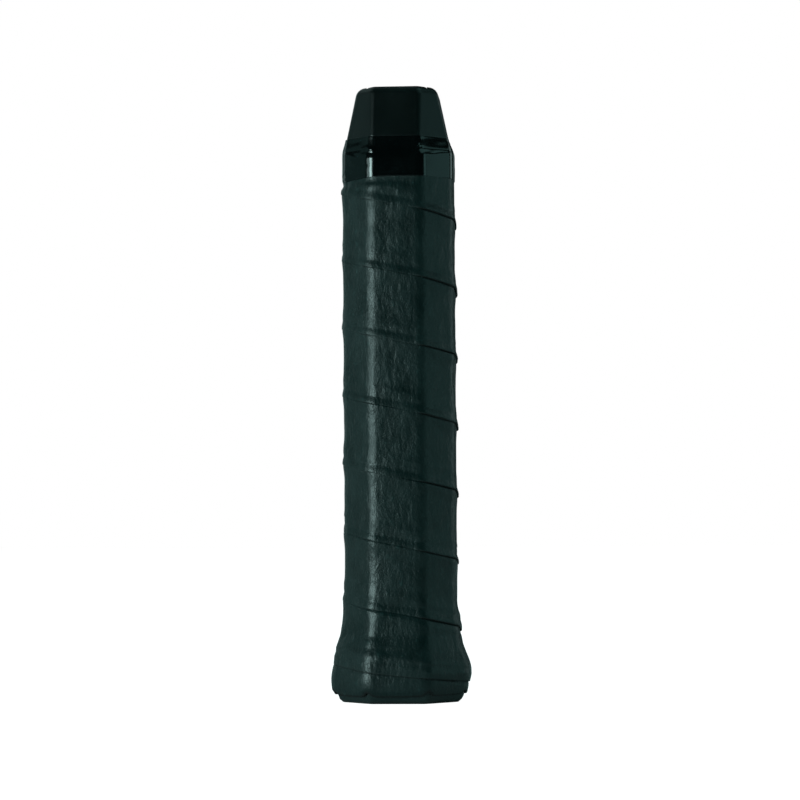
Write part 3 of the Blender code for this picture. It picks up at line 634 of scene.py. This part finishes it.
class Nodes:
    """A small helper that adds and links shader nodes."""

    def __init__(self, name):
        self.material = bpy.data.materials.new(name)
        self.material.use_nodes = True
        self.tree = self.material.node_tree
        self.shader = self.tree.nodes["Principled BSDF"]
        self.place = self.add("ShaderNodeTexCoord").outputs["Object"]

    def add(self, kind):
        return self.tree.nodes.new(kind)

    def link(self, source, target):
        self.tree.links.new(source, target)

    def stretched_place(self, stretch):
        node = self.add("ShaderNodeMapping")
        node.inputs["Scale"].default_value = stretch
        self.link(self.place, node.inputs["Vector"])
        return node.outputs["Vector"]

    def noise(self, scale, detail, roughness, stretch=(1.0, 1.0, 1.0)):
        node = self.add("ShaderNodeTexNoise")
        node.inputs["Scale"].default_value = scale
        node.inputs["Detail"].default_value = detail
        node.inputs["Roughness"].default_value = roughness
        self.link(self.stretched_place(stretch), node.inputs["Vector"])
        return node.outputs["Fac"]

    def voronoi(self, scale, stretch):
        node = self.add("ShaderNodeTexVoronoi")
        node.inputs["Scale"].default_value = scale
        self.link(self.stretched_place(stretch), node.inputs["Vector"])
        return node.outputs["Distance"]

    def ramp(self, value, low, high, low_to=0.0, high_to=1.0):
        node = self.add("ShaderNodeMapRange")
        for socket, number in (
            ("From Min", low),
            ("From Max", high),
            ("To Min", low_to),
            ("To Max", high_to),
        ):
            node.inputs[socket].default_value = number
        self.link(value, node.inputs["Value"])
        return node.outputs["Result"]

    def mix_colour(self, factor, first, second):
        node = self.add("ShaderNodeMix")
        node.data_type = "RGBA"
        self.link(factor, node.inputs["Factor"])
        for socket, value in (("A", first), ("B", second)):
            if isinstance(value, tuple):
                node.inputs[socket].default_value = (*value, 1.0)
            else:
                self.link(value, node.inputs[socket])
        return node.outputs["Result"]

    def math(self, operation, first, second):
        node = self.add("ShaderNodeMath")
        node.operation = operation
        for socket, value in zip(node.inputs, (first, second)):
            if isinstance(value, (int, float)):
                socket.default_value = value
            else:
                self.link(value, socket)
        return node.outputs["Value"]

    def bump(self, height, distance, strength, normal=None):
        node = self.add("ShaderNodeBump")
        node.inputs["Strength"].default_value = strength
        node.inputs["Distance"].default_value = distance
        self.link(height, node.inputs["Height"])
        if normal is not None:
            self.link(normal, node.inputs["Normal"])
        return node.outputs["Normal"]

    def finish(self, colour, roughness, normal):
        """Connects what every material of the handle has, and returns the material."""
        self.link(colour, self.shader.inputs["Base Color"])
        self.link(roughness, self.shader.inputs["Roughness"])
        self.link(normal, self.shader.inputs["Normal"])
        return self.material


def grip_material():
    """Fine-grained polyurethane leather with short vertical creases, and painted shade along its
    seams.
    """
    dark, light, worn = (0.0029, 0.0126, 0.0121), (0.0046, 0.0182, 0.0176), (0.0125, 0.0370, 0.0360)
    painted_shade_colour = (0.0008, 0.0020, 0.0020)
    made = Nodes("grip_polyurethane_look")
    grain = made.noise(scale=1700.0, detail=3.0, roughness=0.6, stretch=(1.0, 1.0, 0.6))
    pores = made.voronoi(scale=1100.0, stretch=(1.0, 1.0, 0.45))
    creases = made.noise(scale=520.0, detail=4.0, roughness=0.62, stretch=(1.0, 1.0, 0.55))
    mottle = made.noise(scale=190.0, detail=3.0, roughness=0.5, stretch=(1.0, 1.0, 0.6))
    cloud = made.noise(scale=45.0, detail=2.0, roughness=0.5)
    # the "seam" attribute holds the painted shade at the seams, which darkens the colour and
    # roughens the surface
    seam_shade_node = made.add("ShaderNodeAttribute")
    seam_shade_node.attribute_name = "seam"
    seam = seam_shade_node.outputs["Fac"]
    colour = made.mix_colour(made.ramp(mottle, 0.35, 0.65), dark, light)
    colour = made.mix_colour(made.ramp(creases, 0.62, 0.74), colour, worn)
    # painted shade along the seams and the butt's edge
    colour = made.mix_colour(made.ramp(seam, 0.25, 1.0), colour, painted_shade_colour)
    mottled = made.ramp(mottle, 0.3, 0.7, low_to=0.32, high_to=0.44)
    clouded = made.ramp(cloud, 0.3, 0.7, low_to=-0.03, high_to=0.03)
    rough = made.math("ADD", mottled, clouded)
    rough = made.math("ADD", rough, made.math("MULTIPLY", seam, 0.3))
    normal = made.bump(mottle, distance=0.46 * MM, strength=0.75)
    normal = made.bump(creases, distance=0.27 * MM, strength=0.95, normal=normal)
    normal = made.bump(pores, distance=0.04 * MM, strength=0.5, normal=normal)
    normal = made.bump(grain, distance=0.03 * MM, strength=0.6, normal=normal)
    return made.finish(colour, rough, normal)


def vinyl_material():
    """Glossy black vinyl with faint ripples, fingermarks and fine scuffs."""
    dark, light = (0.0004, 0.0014, 0.0016), (0.0010, 0.0026, 0.0028)
    made = Nodes("finishing_vinyl_look")
    made.shader.inputs["IOR"].default_value = 1.62
    ripples = made.noise(scale=160.0, detail=2.0, roughness=0.5, stretch=(1.0, 1.0, 0.5))
    marks = made.noise(scale=240.0, detail=4.0, roughness=0.6)
    colour = made.mix_colour(made.ramp(marks, 0.4, 0.7), dark, light)
    rough = made.ramp(marks, 0.35, 0.75, low_to=0.13, high_to=0.19)
    return made.finish(colour, rough, made.bump(ripples, distance=0.07 * MM, strength=0.5))


def moulded_material(name, dark, light, smoothest, roughest):
    """Satin moulded plastic with a fine spark-eroded texture."""
    made = Nodes(name)
    texture = made.noise(scale=2200.0, detail=3.0, roughness=0.6)
    patches = made.noise(scale=70.0, detail=3.0, roughness=0.5, stretch=(1.0, 1.0, 0.5))
    colour = made.mix_colour(made.ramp(patches, 0.35, 0.65), dark, light)
    rough = made.ramp(patches, 0.3, 0.7, low_to=smoothest, high_to=roughest)
    return made.finish(colour, rough, made.bump(texture, distance=0.02 * MM, strength=0.5))


def carbon_material():
    """Unidirectional carbon laminate under clear resin."""
    dark, light = (0.006, 0.006, 0.007), (0.022, 0.022, 0.024)
    made = Nodes("carbon_laminate_look")
    fibres = made.noise(scale=900.0, detail=4.0, roughness=0.6, stretch=(1.0, 1.0, 0.04))
    colour = made.mix_colour(made.ramp(fibres, 0.35, 0.65), dark, light)
    rough = made.ramp(fibres, 0.3, 0.7, low_to=0.22, high_to=0.38)
    return made.finish(colour, rough, made.bump(fibres, distance=0.03 * MM, strength=0.4))


def steel_material():
    """Bright staple wire with drawing marks."""
    dark, light = (0.42, 0.42, 0.41), (0.62, 0.62, 0.60)
    made = Nodes("staple_steel_look")
    made.shader.inputs["Metallic"].default_value = 1.0
    marks = made.noise(scale=2500.0, detail=3.0, roughness=0.6, stretch=(0.1, 1.0, 1.0))
    colour = made.mix_colour(made.ramp(marks, 0.35, 0.65), dark, light)
    rough = made.ramp(marks, 0.3, 0.7, low_to=0.25, high_to=0.42)
    return made.finish(colour, rough, made.bump(marks, distance=0.01 * MM, strength=0.4))


def dress(obj, finish):
    obj.data.materials.clear()
    obj.data.materials.append(finish)


# ---------------------------------------------------------------- the pieces

grip = build_grip_tape("grip_tape_wound")
dress(grip, grip_material())
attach(grip, "handle")
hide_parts("grip_tape")

band = build_band("finishing_band")
dress(band, vinyl_material())
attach(band, "handle")
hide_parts("finishing_tape")

pallet_look = moulded_material(
    "pallet_look", (0.0006, 0.0030, 0.0029), (0.0011, 0.0044, 0.0042), smoothest=0.30, roughest=0.38
)
cap_look = moulded_material(
    "cap_look", (0.0085, 0.0200, 0.0195), (0.0120, 0.0270, 0.0262), smoothest=0.40, roughest=0.52
)
plug_look = moulded_material(
    "plug_look", (0.0060, 0.0100, 0.0098), (0.0080, 0.0130, 0.0128), smoothest=0.48, roughest=0.58
)
badge_look = moulded_material(
    "badge_look", (0.018, 0.024, 0.024), (0.024, 0.031, 0.031), smoothest=0.18, roughest=0.26
)
for look, names in (
    (pallet_look, ("pallet_front", "pallet_rear")),
    (carbon_material(), ("shaft_left", "shaft_right")),
    (plug_look, ("shaft_end_plug",)),
    (cap_look, ("butt_cap", "trap_door")),
    (badge_look, ("badge",)),
    (
        steel_material(),
        ("staple_front_left", "staple_front_right", "staple_rear_left", "staple_rear_right"),
    ),
):
    for node in names:
        dress(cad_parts[node], look)

# ---------------------------------------------------------------- camera

CAMERA_AZIMUTH = math.radians(3.8)
CAMERA_DISTANCE = 0.848
CAMERA_HEIGHT = 0.0596
CAMERA_PITCH = math.radians(2.167)
CAMERA_ROLL = math.radians(-0.38)
CAMERA_LENS, CAMERA_SENSOR = 124.7, 36.0

camera_data = bpy.data.cameras.new("camera")
camera_data.lens = CAMERA_LENS
camera_data.sensor_width = CAMERA_SENSOR
camera_data.clip_start = 0.01
camera = bpy.data.objects.new("camera", camera_data)
bpy.context.scene.collection.objects.link(camera)
camera.location = (
    CAMERA_DISTANCE * math.sin(CAMERA_AZIMUTH),
    -CAMERA_DISTANCE * math.cos(CAMERA_AZIMUTH),
    CAMERA_HEIGHT,
)
camera.rotation_mode = "XYZ"
level_look = Vector((-camera.location.x, -camera.location.y, 0.0)).normalized()
aim = level_look * math.cos(CAMERA_PITCH) + Vector((0.0, 0.0, math.sin(CAMERA_PITCH)))
turn_to = aim.to_track_quat("-Z", "Y").to_matrix().to_4x4()
camera.rotation_euler = (turn_to @ Matrix.Rotation(CAMERA_ROLL, 4, "Z")).to_euler()
bpy.context.scene.camera = camera

# ---------------------------------------------------------------- lights

TINT = (0.70, 1.0, 0.985)
FILL_TINT = (0.46, 1.0, 0.97)
LIGHT_AIM_HEIGHT = 0.09
LIGHTS = (  # name, angle, elevation, distance, width, height, watts and tint
    ("key", -48.0, 4.0, 1.0, 0.25, 0.50, 4.1, TINT),
    ("key_inner", -38.0, 4.0, 1.0, 0.25, 0.50, 1.3, TINT),
    ("key_outer", -66.0, 4.0, 1.0, 0.25, 0.50, 0.85, TINT),
    ("side_left", -98.0, 5.0, 1.1, 0.5, 0.9, 0.18, FILL_TINT),
    ("back_left", -125.0, 5.0, 1.1, 0.4, 0.9, 0.7, TINT),
    ("side_right", 88.0, 5.0, 1.1, 0.5, 0.9, 0.56, FILL_TINT),
    ("front_right", 66.0, 5.0, 1.1, 0.25, 0.9, 0.50, FILL_TINT),
    ("back_right", 120.0, 5.0, 1.1, 0.4, 0.9, 0.95, TINT),
    ("rim_left", -158.0, 10.0, 1.2, 0.3, 0.9, 0.72, TINT),
    ("rim_right", 165.0, 10.0, 1.2, 0.2, 0.9, 0.09, TINT),
    ("top_right", 74.0, 62.0, 1.0, 0.8, 0.8, 1.0, FILL_TINT),
    ("top_back", -140.0, 48.0, 1.0, 0.9, 0.9, 0.7, TINT),
    ("under", 0.0, -60.0, 1.0, 0.7, 0.7, 1.6, TINT),
)


def softbox(name, angle, elevation, distance, width, height, watts, tint):
    """An area light round the handle, at an angle from the camera's side, left negative."""
    direction = math.radians(-90.0) + CAMERA_AZIMUTH + math.radians(angle)
    rise = math.radians(elevation)
    data = bpy.data.lights.new(name, "AREA")
    data.shape = "RECTANGLE"
    data.size, data.size_y = width, height
    data.energy = watts
    data.color = tint
    made = bpy.data.objects.new(name, data)
    bpy.context.scene.collection.objects.link(made)
    made.location = (
        distance * math.cos(direction) * math.cos(rise),
        distance * math.sin(direction) * math.cos(rise),
        LIGHT_AIM_HEIGHT + distance * math.sin(rise),
    )
    towards = Vector((0.0, 0.0, LIGHT_AIM_HEIGHT)) - made.location
    made.rotation_mode = "QUATERNION"
    made.rotation_quaternion = towards.to_track_quat("-Z", "Y")
    made.visible_camera = False


for light in LIGHTS:
    softbox(*light)

# ---------------------------------------------------------------- floor and surroundings

FLOOR_SIZE = 6.0
FLOOR_GAP = 0.1 * MM  # keeps the floor off the rim that stands on it
FLOOR_DARK, FLOOR_LIGHT = (0.90, 0.90, 0.90), (0.93, 0.93, 0.93)
FLOOR_ROUGHNESS = 0.9
FILL_STRENGTH = 0.014


def floor_material():
    """White paper that glows for the camera alone, and is clear from below."""
    made = Nodes("floor_paper")
    paper = made.noise(scale=60.0, detail=3.0, roughness=0.5)
    colour = made.mix_colour(made.ramp(paper, 0.3, 0.7), FLOOR_DARK, FLOOR_LIGHT)
    made.link(colour, made.shader.inputs["Base Color"])
    made.shader.inputs["Roughness"].default_value = FLOOR_ROUGHNESS
    lit = made.shader.outputs["BSDF"]
    glow = made.add("ShaderNodeEmission")
    seen = made.add("ShaderNodeAddShader")
    made.link(lit, seen.inputs[0])
    made.link(glow.outputs["Emission"], seen.inputs[1])
    by_camera = made.add("ShaderNodeMixShader")
    made.link(made.add("ShaderNodeLightPath").outputs["Is Camera Ray"], by_camera.inputs["Fac"])
    made.link(lit, by_camera.inputs[1])
    made.link(seen.outputs["Shader"], by_camera.inputs[2])
    by_side = made.add("ShaderNodeMixShader")
    made.link(made.add("ShaderNodeNewGeometry").outputs["Backfacing"], by_side.inputs["Fac"])
    made.link(by_camera.outputs["Shader"], by_side.inputs[1])
    made.link(made.add("ShaderNodeBsdfTransparent").outputs["BSDF"], by_side.inputs[2])
    made.link(by_side.outputs["Shader"], made.tree.nodes["Material Output"].inputs["Surface"])
    return made.material


bpy.ops.mesh.primitive_plane_add(size=FLOOR_SIZE, location=(0.0, 0.0, -FLOOR_GAP))
floor = bpy.context.object
floor.name = "floor"
dress(floor, floor_material())

# the camera sees white, while a faint fill lights the handle
world = bpy.data.worlds.new("studio")
bpy.context.scene.world = world
world.use_nodes = True
tree = world.node_tree
fill = tree.nodes["Background"]
fill.inputs["Color"].default_value = (*FILL_TINT, 1.0)
fill.inputs["Strength"].default_value = FILL_STRENGTH
white = tree.nodes.new("ShaderNodeBackground")
white.inputs["Color"].default_value = (1.0, 1.0, 1.0, 1.0)
white.inputs["Strength"].default_value = 1.0
path = tree.nodes.new("ShaderNodeLightPath")
pick = tree.nodes.new("ShaderNodeMixShader")
tree.links.new(path.outputs["Is Camera Ray"], pick.inputs["Fac"])
tree.links.new(fill.outputs["Background"], pick.inputs[1])
tree.links.new(white.outputs["Background"], pick.inputs[2])
tree.links.new(pick.outputs["Shader"], tree.nodes["World Output"].inputs["Surface"])
bpy.context.scene.view_settings.view_transform = "Standard"
